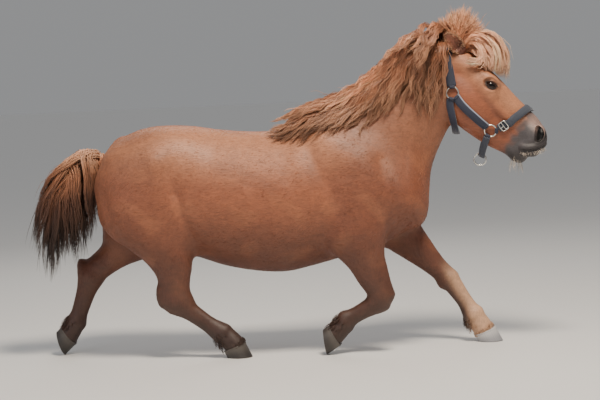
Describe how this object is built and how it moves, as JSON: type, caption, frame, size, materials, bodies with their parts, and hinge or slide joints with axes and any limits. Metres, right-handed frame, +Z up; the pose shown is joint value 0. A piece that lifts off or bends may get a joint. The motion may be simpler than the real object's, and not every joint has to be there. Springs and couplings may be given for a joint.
{
  "type": "shetland pony",
  "caption": "Stout chestnut pony at a trot, life size, with a thick mane, forelock and tail, wearing a padded webbing halter with metal rings.",
  "frame": {"origin": "on the floor, under the middle of the pony's bounding box", "axes": "+X towards the nose, +Y to the pony's left, +Z up"},
  "size_m": [1.8846, 0.4298, 1.213],
  "materials": {
    "coat": "short chestnut coat over skin, with a paler flaxen chestnut mane and forelock",
    "tail_hair": "long chestnut tail hair going dark brown at the ends",
    "horn": "dark grey hoof horn, satin",
    "eye": "dark brown, wet gloss",
    "webbing": "dark blue padded webbing, matte",
    "ring": "plated steel, polished"
  },
  "bodies": {
    "root": {"head": "coat", "neck": "coat", "torso": "coat", "foreleg_right": "coat", "hoof_fore_right": "horn", "foreleg_left": "coat", "hoof_fore_left": "horn", "hindleg_right": "coat", "hoof_hind_right": "horn", "hindleg_left": "coat", "hoof_hind_left": "horn", "tail": "tail_hair", "ear_right": "coat", "eye_right": "eye", "ear_left": "coat", "eye_left": "eye", "halter_crownpiece": "webbing", "halter_noseband": "webbing", "halter_cheek_strap_right": "webbing", "halter_ring_upper_right": "ring", "halter_ring_lower_right": "ring", "halter_cheek_strap_left": "webbing", "halter_ring_upper_left": "ring", "halter_ring_lower_left": "ring", "halter_throat_strap": "webbing", "halter_chin_strap": "webbing", "halter_lead_ring": "ring", "halter_buckle": "ring"}
  },
  "joints": []
}
